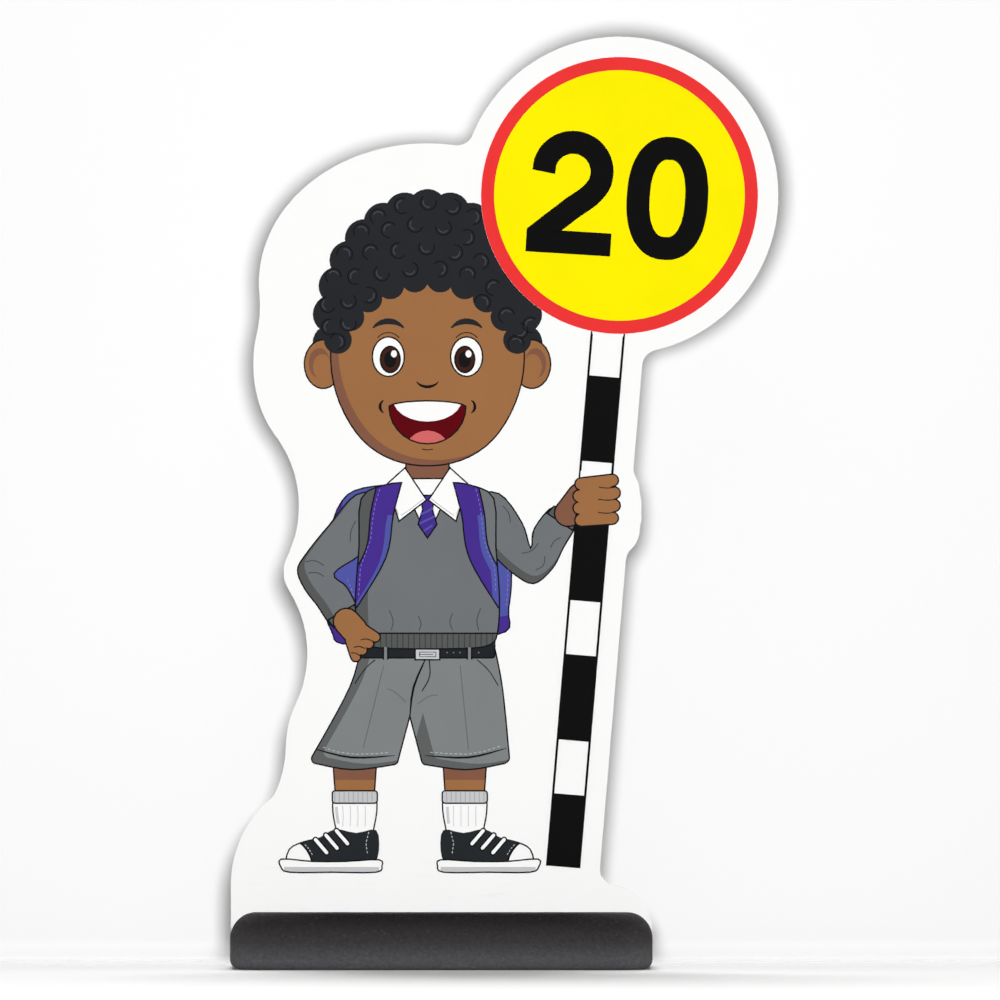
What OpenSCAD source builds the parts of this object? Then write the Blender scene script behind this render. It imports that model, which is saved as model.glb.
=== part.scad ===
// Free-standing pavement sign: a routed board in the outline of a schoolchild with a
// round sign on a banded pole, stood in a slotted rubber base.
// X runs to the right as seen from the front, Z up. The front faces -Y.
// The origin is the middle of the base's underside.

/* [Base] */
// Length of the base, which is also the width of the board's foot
base_w = 452; // [430:1:520]
// Front to back size of the base
base_depth = 240; // [180:1:300]
// Height of the base
base_h = 60; // [50:1:75]
// Radius of the top edge, all round
base_top_r = 27; // [15:1:32]
// Radius of the bottom edge, all round
base_foot_r = 11; // [4:1:14]
// Radius of the corners seen from above
base_plan_r = 40; // [34:1:60]
// Thickness left under the slot
slot_floor = 15; // [12:1:25]
// Width of the sloping lead-in along the slot's mouth
slot_lead = 2; // [1:0.5:4]

/* [Board] */
// Thickness of the board
board_t = 10; // [6:1:15]
// Clearance between the board and each wall of the slot
slot_gap = 0.3; // [0.2:0.05:0.6]
// White margin round the sign, the arms, the bag and the shorts
margin = 22; // [16:1:30]
// White margin round the shoes
wide_margin = 46; // [36:1:50]
// White margin beside the pole
pole_margin = 21; // [14:1:24]
// Radius of the hollows where two parts of the outline meet
hollow_r = 18; // [14:1:30]
// Radius of the shallow hollows beside the child
side_hollow_r = 125; // [90:5:180]
// Height of the board's foot above the ground
foot_top = 89; // [84:1:96]
// Radius of the foot's upper corner at the right
foot_r = 46; // [30:1:60]
// Radius of the edge that rises from the foot at the left
rise_r = 122; // [110:1:150]

/* [Round sign] */
// Diameter of the sign
disc_d = 297; // [260:1:320]
// Width of its red ring
ring_w = 14; // [10:1:22]
// Middle of the sign to the right of the origin
disc_x = 191; // [175:1:205]
// Middle of the sign above the ground
disc_z = 829; // [800:1:860]

/* [Pole] */
// Width of the pole
pole_w = 37; // [30:1:44]
// Lean of the pole from the vertical
pole_lean = 4.8; // [2:0.1:6]
// Length of the pole from the middle of the sign
pole_len = 723; // [700:1:730]
// Distance from the middle of the sign to the first black band
band_start = 195; // [170:1:210]
// Length of a black band
band_len = 92; // [80:1:100]
// Distance from one black band to the next
band_pitch = 150; // [140:1:160]
// Width of the black edge along the white bands
pole_edge = 1.8; // [1:0.1:3]

/* [Head] */
// Middle line of the child, to the right of the origin
child_x = -15; // [-24:1:-6]
// Middle of the face above the ground
head_z = 660; // [652:1:668]
// Width of the face
head_w = 208; // [185:1:220]
// Height of the face
head_h = 240; // [225:1:255]
// Width of an ear
ear_w = 42; // [34:1:50]
// Height of an ear
ear_h = 54; // [44:1:64]
// Radius of a curl round the top of the hair
curl_r = 21; // [16:1:26]
// Radius of a curl along the hairline
fringe_r = 15; // [10:1:18]
// Distance between the middles of the eyes
eye_gap = 84; // [70:1:95]
// Width of an eye
eye_w = 36; // [28:1:42]
// Height of an eye
eye_h = 44; // [34:1:50]
// Width of the mouth
mouth_w = 84; // [64:1:96]

/* [Body] */
// Height of the shoulder joints above the ground
shoulder_z = 492; // [484:1:500]
// Width between the shoulder joints
shoulder_w = 116; // [104:1:128]
// Height of the jumper's lower edge above the ground
waist_z = 346; // [338:1:354]
// Width of the jumper at its lower edge
waist_w = 150; // [138:1:162]
// Width of an upper arm
arm_w = 52; // [42:1:60]
// Width of the rucksack
bag_w = 224; // [205:1:240]
// Width of a shoulder strap
strap_w = 27; // [20:1:32]
// Height of the hand on the pole, above the ground
hold_z = 500; // [480:1:520]
// Thickness of a finger
finger_d = 15; // [12:1:17]

/* [Legs] */
// Height of the shorts' lower edge above the ground
shorts_z = 216; // [208:1:226]
// Width of one leg of the shorts at its lower edge
shorts_w = 92; // [80:1:98]
// Middle of the left ankle, to the left of the middle line
left_ankle = 78; // [70:1:86]
// Middle of the right ankle, to the right of the middle line
right_ankle = 40; // [34:1:46]
// Width of a leg below the knee
leg_w = 46; // [38:1:52]
// Height of the shoes' soles above the ground
sole_z = 102; // [100:1:108]
// Length of a shoe
shoe_len = 102; // [94:1:106]

/* [Print] */
// Thickness of one layer of the printed film
film_t = 0.2; // [0.1:0.05:0.4]
// Width of the dark line round each part of the picture
line_w = 1.6; // [1:0.1:2.5]

/* [Hidden] */
$fn = 64;
disc_fn = 180;

// The picture's layers from back to front: shape, ink, width of its dark line
LAYERS = [
    ["bag", "blue", line_w],
    ["bag shade", "violet", 0],
    ["left sleeve", "jumper", line_w],
    ["left sleeve shade", "jumper shade", 0],
    ["right sleeve", "jumper", line_w],
    ["right sleeve shade", "jumper shade", 0],
    ["cuffs", "jumper shade", line_w],
    ["hair back", "hair", 0],
    ["ears", "skin", line_w],
    ["ear folds", "skin shade", 0],
    ["neck", "skin shade", line_w],
    ["legs", "skin", line_w],
    ["leg shade", "skin shade", 0],
    ["socks", "bare", line_w],
    ["sock cuffs", "light grey", line_w],
    ["shoes", "shoes", 0],
    ["toe caps", "bare", line_w],
    ["soles", "bare", line_w],
    ["sole shade", "light grey", 0],
    ["laces", "bare", line_w],
    ["shorts", "shorts", line_w],
    ["shorts shade", "shorts shade", 0],
    ["creases", "line", 0],
    ["belt", "belt", line_w],
    ["buckle", "light grey", line_w],
    ["jumper", "jumper", line_w],
    ["jumper shade", "jumper shade", 0],
    ["hem", "jumper shade", line_w],
    ["shirt", "bare", line_w],
    ["tie", "violet", line_w],
    ["collar", "bare", line_w],
    ["straps", "blue", line_w],
    ["strap shade", "violet", 0],
    ["left hand", "skin", line_w],
    ["palm", "skin shade", line_w],
    ["face", "skin", line_w],
    ["face shade", "skin shade", 0],
    ["mouth", "mouth", line_w],
    ["teeth", "bare", 0],
    ["tongue", "tongue", 0],
    ["smile", "line", 0],
    ["eyes", "bare", line_w],
    ["irises", "eyes", line_w],
    ["pupils", "line", 0],
    ["glints", "bare", 0],
    ["brows", "hair", 0],
    ["fringe", "hair", 0],
    ["pole", "bare", 0],
    ["pole black", "pole", 0],
    ["fingers", "skin", line_w],
    ["disc", "disc", 0]
];
TOP = len(LAYERS) - 1;

// Places on the child, measured from its own middle line
chin_z = head_z - head_h / 2;
collar_z = shoulder_z + 30;
grip = [pole_at(hold_z) - child_x, hold_z];
left_shoulder = [-shoulder_w / 2, shoulder_z];
left_elbow = [-shoulder_w / 2 - 60, (shoulder_z + waist_z) / 2 + 6];
left_wrist = [-waist_w / 2 - 12, waist_z + 26];
right_shoulder = [shoulder_w / 2, shoulder_z];
right_elbow = [(shoulder_w / 2 + grip[0]) / 2 - 6, hold_z - 66];
right_wrist = grip + [-30, -12];
crotch = [(right_ankle - left_ankle) / 2, (waist_z + shorts_z) / 2 - 14];
sock_top = sole_z + 86;
sole_t = 15;
shoe_h = 48;
light = [9, 7];
disc_gap = 0.1;

// The cut line's own rounds: above the hair, beside the ears and beside the left knee
crown_rise = 51;
crown_r = [head_w / 2 + 77, head_h / 2 + 30];
cheek_r = [ear_w / 2 + 54, ear_h / 2 + 78];
knee_r = [52, 80];
hand_drop = 12;
finest = 0.15;
ink_gap = 0.02;

// Middle of the pole at height z
function pole_at(z) = disc_x - (disc_z - z) * tan(pole_lean);

// Points on an arc of an ellipse, r being its two radii
function arc(c, r, from, to, n = 8) =
    [for (i = [0 : n]) let (a = from + (to - from) * i / n) c + [r[0] * cos(a), r[1] * sin(a)]];

// Points all round an ellipse
function oval(c, r, n = 24) = arc(c, r, 0, 360 - 360 / n, n - 1);

// Points all round an ellipse that is squared up a little
function full_oval(c, r, n) = [
    for (p = oval([0, 0], [1, 1], n))
        c + [r[0] * sign(p[0]) * pow(abs(p[0]), 0.84), r[1] * sign(p[1]) * pow(abs(p[1]), 0.84)]
];

// One point on a smooth curve between b and c
function spline(a, b, c, d, t) =
    b + ((c - a) * t + (2 * a - 5 * b + 4 * c - d) * pow(t, 2) + (3 * b - 3 * c + d - a) * pow(t, 3)) / 2;

// A smooth closed outline through a few points, with n steps from one to the next
function smooth(p, n = 3) = let (m = len(p)) [
    for (i = [0 : m - 1], j = [0 : n - 1])
        spline(p[(i + m - 1) % m], p[i], p[(i + 1) % m], p[(i + 2) % m], j / n)
];

// A smooth open line through a few points
function curve(p, n = 3) = let (m = len(p) - 1) concat([
    for (i = [0 : m - 1], j = [0 : n - 1])
        spline(p[max(i - 1, 0)], p[i], p[i + 1], p[min(i + 2, m)], j / n)
], [p[m]]);

// The right half of an outline and its mirror image, from the top round to the top
function both(p) = concat(p, [for (i = [len(p) - 1 : -1 : 0]) [-p[i][0], p[i][1]]]);

// A tapered limb with round ends
function limb(a, ra, b, rb, n = 7) =
    let (d = b - a, dir = atan2(d[1], d[0]), lap = acos((ra - rb) / norm(d)))
    concat(arc(a, [ra, ra], dir + lap, dir + 360 - lap, n), arc(b, [rb, rb], dir - lap, dir + lap, n));

// Unit vector square to a line of points
function square_to(p, i) =
    let (d = p[min(i + 1, len(p) - 1)] - p[max(i - 1, 0)]) [-d[1], d[0]] / norm(d);

// A band along a line of points, from half-width w0 to half-width w1
function band(p, w0, w1) = let (m = len(p) - 1) concat(
    [for (i = [0 : m]) p[i] + square_to(p, i) * (w0 + (w1 - w0) * i / m)],
    [for (i = [m : -1 : 0]) p[i] - square_to(p, i) * (w0 + (w1 - w0) * i / m)]
);

// A drawn stroke that thins out at both ends
function stroke(p, w) = let (m = len(p) - 1) concat(
    [for (i = [0 : m]) p[i] + square_to(p, i) * w * (0.3 + sin(180 * i / m)) / 1.3],
    [for (i = [m : -1 : 0]) p[i] - square_to(p, i) * w * (0.3 + sin(180 * i / m)) / 1.3]
);

// A shape and its mirror image across the middle line
module pair() {
    children();
    mirror([1, 0]) children();
}

// The side of a shape that is turned away from the light
module shaded(away = light) {
    difference() {
        offset(delta = -line_w) children();
        translate(away) children();
    }
}

// A rectangle with round corners
module rounded(size, r) {
    translate([r, r]) offset(r = r, $fn = 16) square(size - [2 * r, 2 * r]);
}

// Rounds the corners of a shape that point outwards
module soften(r) {
    offset(r = r, $fn = 20) offset(delta = -r) children();
}

// Head

module face() {
    polygon(smooth(both([
        [0.20 * head_w, head_z + 0.49 * head_h],
        [0.42 * head_w, head_z + 0.33 * head_h],
        [0.50 * head_w, head_z + 0.06 * head_h],
        [0.475 * head_w, head_z - 0.18 * head_h],
        [0.34 * head_w, head_z - 0.39 * head_h],
        [0.13 * head_w, head_z - 0.495 * head_h]
    ]), 5));
}

module ears() {
    pair() polygon(oval([head_w / 2 + 8, head_z - 12], [ear_w, ear_h] / 2, 26));
}

module ear_folds() {
    pair() difference() {
        polygon(oval([head_w / 2 + 12, head_z - 11], [0.27 * ear_w, 0.30 * ear_h], 18));
        polygon(oval([head_w / 2 + 9, head_z - 15], [0.24 * ear_w, 0.26 * ear_h], 14));
    }
}

// How far the row of curls runs on below the level line through the hair's middle, in degrees
hair_drop = 6;

// Middle and radii of the round top of the hair
dome = [0, head_z + 24];
dome_r = [head_w / 2 + 6, head_h / 2 + 18];

module curls(c, r, from, to, count, size) {
    for (p = arc(c, r, from, to, count)) translate(p) circle(r = size, $fn = 26);
}

module hair_back() {
    intersection() {
        union() {
            polygon(full_oval(dome, dome_r, 36));
            curls(dome, dome_r - [curl_r, curl_r] / 3, -hair_drop, 180 + hair_drop, 14, curl_r);
        }
        translate([-head_w, head_z - 6]) square([2 * head_w, head_h]);
    }
}

// Middle and radii of the bare forehead below the hairline
brow_line = [0, head_z - 26];
brow_r = [0.47 * head_w, 0.42 * head_h];

// Height of the hairline's ends above the forehead's middle, in degrees
fringe_end = 22;

module fringe() {
    difference() {
        intersection() {
            polygon(full_oval(dome, dome_r, 36));
            translate([-head_w, head_z + 18]) square([2 * head_w, head_h]);
        }
        polygon(oval(brow_line, brow_r, 36));
    }
    curls(brow_line, brow_r + [6, 6], fringe_end, 180 - fringe_end, 9, fringe_r);
}

// Height of the eyes' middle
eye_z = head_z - head_h / 60;

module eyes() {
    pair() polygon(oval([eye_gap / 2, eye_z], [eye_w, eye_h] / 2));
}

module irises() {
    pair() polygon(oval([eye_gap / 2 - 2, eye_z - 3], [0.32 * eye_w, 0.34 * eye_h], 22));
}

module pupils() {
    pair() polygon(oval([eye_gap / 2 - 2, eye_z - 3], [0.18 * eye_w, 0.20 * eye_h], 18));
}

module glints() {
    for (side = [-1, 1])
        polygon(oval([side * (eye_gap / 2 - 2) + 4, eye_z + 3], [0.09 * eye_w, 0.09 * eye_h], 12));
}

module brows() {
    pair() polygon(stroke(arc([eye_gap / 2, eye_z + 18], [0.6 * eye_w, 20], 40, 140, 9), 3.2));
}

// Height of the corners of the mouth, and the upper lip's dip and where it starts, in degrees
mouth_z = head_z - 0.24 * head_h;
lip_dip = 7;
lip_turn = 10;

// Width and depth of the nose's lower line, and where it starts, in degrees
nose_w = 26;
nose_d = 10;
nose_turn = 25;

module mouth() {
    polygon(concat(
        arc([0, mouth_z], [mouth_w / 2, 0.17 * head_h], 180, 360, 14),
        arc([0, mouth_z], [mouth_w / 2, -lip_dip], 360 - lip_turn, 180 + lip_turn, 10)
    ));
}

module teeth() {
    intersection() {
        offset(delta = -line_w) mouth();
        polygon(oval([0, mouth_z + 8], [0.44 * mouth_w, 24], 24));
    }
}

module tongue() {
    intersection() {
        offset(delta = -line_w) mouth();
        polygon(oval([0, mouth_z - 0.19 * head_h], [0.27 * mouth_w, 20], 20));
    }
}

module smile() {
    polygon(stroke(arc(
        [0, head_z - 0.11 * head_h], [nose_w / 2, nose_d], 180 + nose_turn, 360 - nose_turn, 7
    ), 1.6));
    pair() polygon(stroke(arc([mouth_w / 2 + 1, mouth_z], [8, 8], -60, 60, 5), 1.6));
}

// Body

module neck() {
    polygon([[-24, chin_z + 30], [24, chin_z + 30], [24, collar_z - 34], [-24, collar_z - 34]]);
}

module bag() {
    polygon(smooth([
        [-bag_w / 2 + 8, waist_z + 16], [-bag_w / 2, waist_z + 60], [-bag_w / 2 + 14, shoulder_z],
        [-bag_w / 4, shoulder_z + 26], [bag_w / 4, shoulder_z + 20], [bag_w / 2 - 24, shoulder_z - 40],
        [bag_w / 2 - 24, waist_z + 40], [bag_w / 2 - 40, waist_z + 10], [-bag_w / 2 + 34, waist_z]
    ], 5));
}

module bag_shade() {
    shaded([12, 22]) bag();
}

module jumper() {
    polygon(smooth(both([
        [0.16 * shoulder_w, shoulder_z + 30],
        [0.40 * shoulder_w, shoulder_z + 27],
        [0.62 * shoulder_w, shoulder_z + 12],
        [0.64 * shoulder_w, shoulder_z - 40],
        [waist_w / 2 + 3, (shoulder_z + waist_z) / 2 - 20],
        [waist_w / 2 + 1, waist_z + 14],
        [waist_w / 2 - 8, waist_z],
        [waist_w / 4, waist_z - 4]
    ])));
}

module jumper_shade() {
    shaded([14, 0]) jumper();
}

module hem() {
    intersection() {
        jumper();
        translate([-waist_w, waist_z - 12]) square([2 * waist_w, 26]);
    }
}

module shirt() {
    polygon([[-30, collar_z + 4], [0, collar_z - 62], [30, collar_z + 4]]);
}

module tie() {
    polygon([
        [-9, collar_z - 14], [9, collar_z - 14], [6, collar_z - 30], [11, collar_z - 46],
        [0, collar_z - 62], [-11, collar_z - 46], [-6, collar_z - 30]
    ]);
}

module collar() {
    pair() polygon([
        [24, collar_z + 16], [44, collar_z - 2], [31, collar_z - 44], [0, collar_z - 20]
    ]);
}

// Middle line of a shoulder strap
function strap_line() = curve([
    [0.34 * shoulder_w, shoulder_z + 34], [0.42 * shoulder_w, shoulder_z - 4],
    [0.48 * shoulder_w, shoulder_z - 48], [0.74 * shoulder_w, shoulder_z - 100]
], 5);

module straps() {
    intersection() {
        pair() polygon(band(strap_line(), strap_w / 2, 0.44 * strap_w));
        jumper();
    }
}

module strap_shade() {
    intersection() {
        offset(delta = -line_w) straps();
        union() {
            translate([-head_w, shoulder_z - 6]) square([2 * head_w, 50]);
            translate([-8, -5]) straps();
        }
    }
}

// A sleeve from shoulder a by elbow b to wrist c. The elbow points to the right of that run.
module sleeve(a, b, c) {
    upper = (b - a) / norm(b - a);
    fore = (c - b) / norm(c - b);
    out = [upper[1], -upper[0]] * arm_w;
    low = [fore[1], -fore[0]] * arm_w;
    bend = (out + low) / norm(out + low) * arm_w;
    polygon(smooth([
        a + 0.48 * out, (a + b) / 2 + 0.48 * out, b - 0.12 * arm_w * upper + 0.44 * out, b + 0.43 * bend,
        b + 0.14 * arm_w * fore + 0.42 * low, (b + c) / 2 + 0.37 * low, c + 0.28 * low, c - 0.28 * low,
        (b + c) / 2 - 0.38 * low, b - 0.36 * bend, (a + b) / 2 - 0.44 * out, a - 0.50 * out,
        a - 0.36 * arm_w * upper
    ], 4));
}

module left_sleeve() {
    sleeve(left_shoulder, left_elbow, left_wrist);
}

module left_sleeve_shade() {
    shaded([8, 6]) left_sleeve();
}

module left_hand() {
    polygon(limb(left_wrist, 15, left_wrist + [9, -10], 15));
    for (i = [0 : 3]) {
        knuckle = left_wrist + [14 - 3 * i, -7 - 4 * i];
        polygon(limb(knuckle, finger_d / 2, knuckle + [17 - 4 * i, -10 - 3 * i], 0.42 * finger_d, 5));
    }
}

module right_sleeve() {
    sleeve(right_shoulder, right_elbow, right_wrist);
}

module right_sleeve_shade() {
    shaded([3, 9]) right_sleeve();
}

// The knitted cuffs, square to the forearms
module cuffs() {
    for (end = [[left_wrist, left_elbow], [right_wrist, right_elbow]]) {
        along = (end[1] - end[0]) / norm(end[1] - end[0]);
        polygon(band([end[0], end[0] + 12 * along], 0.30 * arm_w, 0.33 * arm_w));
    }
}

module palm() {
    polygon(limb(right_wrist + [2, 0], 15, grip + [-6, 2], 24));
}

module fingers() {
    for (i = [-1.5 : 1.5]) {
        polygon(limb(
            grip + [-0.45 * pole_w + 2 * abs(i), i * 0.86 * finger_d], finger_d / 2,
            grip + [0.62 * pole_w - 2 * abs(i), i * 0.9 * finger_d + 3], finger_d / 2
        ));
    }
}

// Legs

// One leg of the shorts, out being -1 for the left one and 1 for the right one
module shorts_leg(out, hip, ankle) {
    polygon(concat(
        curve([
            [out * (waist_w / 2 - 4), waist_z + 6], [out * (waist_w / 2 + hip), waist_z - 44],
            [ankle + out * (shorts_w / 2 + 3), shorts_z + 7]
        ], 5),
        curve([
            [ankle + out * (shorts_w / 2 - 2), shorts_z + 3], [ankle + out * 2, shorts_z - 4],
            [ankle - out * shorts_w / 2, shorts_z + 2]
        ], 4),
        [crotch, [-out * waist_w / 4, waist_z + 6]]
    ));
}

module shorts() {
    soften(6) {
        shorts_leg(-1, 9, -left_ankle);
        shorts_leg(1, 6, right_ankle);
    }
}

module shorts_shade() {
    shaded([14, 7]) shorts();
}

// The front seam, and the stitching above each turn-up
module creases() {
    intersection() {
        shorts();
        union() {
            polygon(stroke(curve([crotch, crotch + [4, 34], [0, waist_z - 10]]), 1.2));
            polygon(stroke(curve([
                [-left_ankle - shorts_w / 2, shorts_z + 20], [-left_ankle - 4, shorts_z + 10],
                [-left_ankle + shorts_w / 2 - 3, shorts_z + 12]
            ], 4), 1.1));
            polygon(stroke(curve([
                [right_ankle + shorts_w / 2 - 1, shorts_z + 20], [right_ankle + 4, shorts_z + 10],
                [right_ankle - shorts_w / 2 + 3, shorts_z + 12]
            ], 4), 1.1));
        }
    }
}

module belt() {
    translate([-waist_w / 2 + 2, waist_z - 14]) rounded([waist_w - 4, 24], 4);
}

module buckle() {
    translate([-14, waist_z - 16]) square([28, 16]);
}

module legs() {
    for (x = [-left_ankle, right_ankle]) polygon([
        [x - 0.55 * leg_w, shorts_z + 20], [x + 0.55 * leg_w, shorts_z + 20],
        [x + 0.46 * leg_w, sock_top - 10], [x - 0.46 * leg_w, sock_top - 10]
    ]);
}

module leg_shade() {
    intersection() {
        offset(delta = -line_w) legs();
        for (x = [-left_ankle, right_ankle])
            translate([x - leg_w / 2, shorts_z - 14]) square([leg_w, 30]);
    }
}

module socks() {
    for (x = [-left_ankle, right_ankle]) translate([x, sock_top]) polygon(smooth(both([
        [0.20 * leg_w, 0], [0.49 * leg_w, -2], [0.53 * leg_w, -20], [0.44 * leg_w, -44], [0.41 * leg_w, -66]
    ])));
}

module sock_cuffs() {
    for (x = [-left_ankle, right_ankle])
        translate([x - leg_w / 2 - 2, sock_top - 12]) rounded([leg_w + 4, 15], 4);
}

// A shape of the shoe, drawn from its heel along +X, placed at both feet
module each_foot() {
    translate([right_ankle - 26, sole_z]) children();
    translate([-left_ankle + 26, sole_z]) mirror([1, 0]) children();
}

module shoe_upper() {
    polygon(curve([
        [5, sole_t / 2], [0, 0.5 * shoe_h], [3, shoe_h - 2], [0.24 * shoe_len, shoe_h - 5],
        [0.46 * shoe_len, shoe_h - 1], [0.62 * shoe_len, 0.80 * shoe_h], [0.80 * shoe_len, 0.71 * shoe_h],
        [0.95 * shoe_len, 0.54 * shoe_h], [shoe_len, sole_t / 2]
    ]));
}

module shoe_sole() {
    polygon(smooth([
        [3, 0], [shoe_len / 2, 0], [shoe_len - 6, 0], [shoe_len + 4, 0.40 * sole_t],
        [shoe_len + 3, 1.05 * sole_t], [0.70 * shoe_len, 0.88 * sole_t], [0.35 * shoe_len, 0.88 * sole_t],
        [0, sole_t], [-4, sole_t / 2]
    ]));
}

module shoes() {
    each_foot() shoe_upper();
}

module toe_caps() {
    each_foot() intersection() {
        shoe_upper();
        polygon(oval([shoe_len + 2, 4], [0.33 * shoe_len, 0.74 * shoe_h], 30));
    }
}

module soles() {
    each_foot() shoe_sole();
}

module sole_shade() {
    each_foot() intersection() {
        offset(delta = -line_w) shoe_sole();
        square([shoe_len, sole_t / 2 - 1]);
    }
}

module laces() {
    each_foot() for (i = [0 : 2]) translate([(0.38 + 0.11 * i) * shoe_len, (0.80 - 0.10 * i) * shoe_h])
        polygon(limb([-5, -7], 3.4, [7, 7], 3.4, 5));
}

// Pole and sign

// Its length runs down from the middle of the sign
module along_pole() {
    translate([disc_x, disc_z]) rotate(-pole_lean) translate([-pole_w / 2, 0]) children();
}

module pole() {
    along_pole() translate([0, -pole_len]) square([pole_w, pole_len]);
}

module pole_black() {
    along_pole() {
        for (x = [0, pole_w - pole_edge])
            translate([x, -pole_len]) square([pole_edge, pole_len]);
        for (s = [band_start : band_pitch : pole_len])
            translate([0, -min(s + band_len, pole_len)]) square([pole_w, min(band_len, pole_len - s)]);
    }
}

module disc() {
    translate([disc_x, disc_z]) circle(d = disc_d + 2 * disc_gap, $fn = disc_fn);
}

// The shape of one layer, where it lies on the board
module shape(name) {
    if (name == "pole") pole();
    else if (name == "pole black") pole_black();
    else if (name == "disc") disc();
    else translate([child_x, 0]) {
        if (name == "bag") bag();
        if (name == "bag shade") bag_shade();
        if (name == "cuffs") cuffs();
        if (name == "hair back") hair_back();
        if (name == "ears") ears();
        if (name == "ear folds") ear_folds();
        if (name == "neck") neck();
        if (name == "legs") legs();
        if (name == "leg shade") leg_shade();
        if (name == "socks") socks();
        if (name == "sock cuffs") sock_cuffs();
        if (name == "shoes") shoes();
        if (name == "toe caps") toe_caps();
        if (name == "soles") soles();
        if (name == "sole shade") sole_shade();
        if (name == "laces") laces();
        if (name == "shorts") shorts();
        if (name == "shorts shade") shorts_shade();
        if (name == "creases") creases();
        if (name == "belt") belt();
        if (name == "buckle") buckle();
        if (name == "jumper") jumper();
        if (name == "jumper shade") jumper_shade();
        if (name == "hem") hem();
        if (name == "shirt") shirt();
        if (name == "tie") tie();
        if (name == "collar") collar();
        if (name == "straps") straps();
        if (name == "strap shade") strap_shade();
        if (name == "left hand") left_hand();
        if (name == "left sleeve") left_sleeve();
        if (name == "left sleeve shade") left_sleeve_shade();
        if (name == "right sleeve") right_sleeve();
        if (name == "right sleeve shade") right_sleeve_shade();
        if (name == "palm") palm();
        if (name == "face") face();
        if (name == "face shade") shaded() face();
        if (name == "mouth") mouth();
        if (name == "teeth") teeth();
        if (name == "tongue") tongue();
        if (name == "smile") smile();
        if (name == "eyes") eyes();
        if (name == "irises") irises();
        if (name == "pupils") pupils();
        if (name == "glints") glints();
        if (name == "brows") brows();
        if (name == "fringe") fringe();
        if (name == "fingers") fingers();
    }
}

// Everything in front of layer k
module above(k) {
    if (k < TOP) for (i = [k + 1 : TOP]) shape(LAYERS[i][0]);
}

// What is seen of layer k inside its dark line
module field(k) {
    difference() {
        offset(delta = -LAYERS[k][2]) shape(LAYERS[k][0]);
        above(k);
    }
}

// All that is seen of one ink
module ink(name) {
    for (k = [0 : TOP]) if (LAYERS[k][1] == name) field(k);
}

// The dark ground under the whole picture, which shows as its lines
module ground() {
    difference() {
        for (k = [0 : TOP - 1]) shape(LAYERS[k][0]);
        ink("bare");
        disc();
    }
}

// Film on the board's face: layer 0 lies on the board, layer 1 on layer 0. What is
// narrower than the finest stroke is left out, and neighbours keep a hair's breadth apart.
module film(layer) {
    translate([0, -board_t / 2 - layer * film_t, 0]) rotate([90, 0, 0]) linear_extrude(film_t)
        offset(delta = finest - ink_gap) offset(delta = -finest) children();
}

// Board

// Outline of the picture, grown by its margins
module silhouette() {
    translate([child_x, 0]) hollowed(side_hollow_r) {
        offset(r = margin) {
            polygon(limb(left_shoulder, arm_w / 2, left_elbow, 0.28 * arm_w));
            bag();
            left_hand();
            shorts();
        }
        offset(r = wide_margin) soles();
        polygon(oval(dome + [0, crown_rise], crown_r, 96));
        pair() polygon(oval([head_w / 2 + 8, head_z - 12], cheek_r, 72));
        polygon(oval([-left_ankle - 22, shorts_z + 19], knee_r, 72));
    }
    translate([child_x, -hand_drop]) offset(r = margin) fingers();
    along_pole() translate([-pole_margin, -pole_len - pole_margin])
        square([pole_w + 2 * pole_margin, pole_len]);
    translate([disc_x, disc_z]) circle(d = disc_d + 2 * margin, $fn = 120);
}

// Rounds the inward corners of a shape
module hollowed(r) {
    offset(r = -r, $fn = max(32, 0.7 * r)) offset(delta = r) children();
}

module foot() {
    right = base_w / 2 - foot_r;
    translate([-base_w / 2, 0]) square([base_w / 2 + right, foot_top]);
    translate([right, 0]) square([foot_r, foot_top - foot_r]);
    translate([right, foot_top - foot_r]) circle(r = foot_r);
    translate([-base_w / 2 + rise_r, foot_top]) circle(r = rise_r, $fn = 120);
}

module board_outline() {
    $fn = 48;
    intersection() {
        hollowed(hollow_r) {
            silhouette();
            foot();
        }
        translate([-base_w / 2, slot_floor]) square([base_w + disc_d, disc_z + disc_d]);
    }
}

module board() {
    color("#f6f6f4") translate([0, board_t / 2, 0]) rotate([90, 0, 0])
        linear_extrude(board_t) board_outline();
}

// Base

// Half of the base's section, from its middle out to the edge
module edge_profile(reach) {
    intersection() {
        square([reach, base_h]);
        union() {
            square([reach - base_top_r, base_h]);
            square([reach - base_foot_r, base_h / 2]);
            translate([0, base_foot_r]) square([reach, base_h - base_foot_r - base_top_r]);
            translate([reach - base_top_r, base_h - base_top_r]) circle(r = base_top_r);
            translate([reach - base_foot_r, base_foot_r]) circle(r = base_foot_r);
        }
    }
}

// A bar with that section on both sides, along X
module bar(length, width) {
    translate([length / 2, 0, 0]) rotate([90, 0, -90]) linear_extrude(length) {
        edge_profile(width / 2);
        mirror([1, 0]) edge_profile(width / 2);
    }
}

module rounded_block() {
    bar(base_w - 2 * base_plan_r, base_depth);
    rotate([0, 0, 90]) bar(base_depth - 2 * base_plan_r, base_w);
    for (x = [-1, 1], y = [-1, 1])
        translate([x * (base_w / 2 - base_plan_r), y * (base_depth / 2 - base_plan_r), 0])
            rotate_extrude() edge_profile(base_plan_r);
}

// Section of the slot, open at the top
module slot_profile() {
    half = board_t / 2 + slot_gap;
    polygon([
        [-half, slot_floor], [half, slot_floor], [half, base_h - slot_lead],
        [half + slot_lead, base_h], [half + slot_lead, base_h + 1],
        [-half - slot_lead, base_h + 1], [-half - slot_lead, base_h], [-half, base_h - slot_lead]
    ]);
}

module base() {
    color("#38363a") difference() {
        rounded_block();
        translate([base_w / 2 + 1, 0, 0]) rotate([90, 0, -90])
            linear_extrude(base_w + 2) slot_profile();
    }
}

// Printed sign and pole

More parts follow.
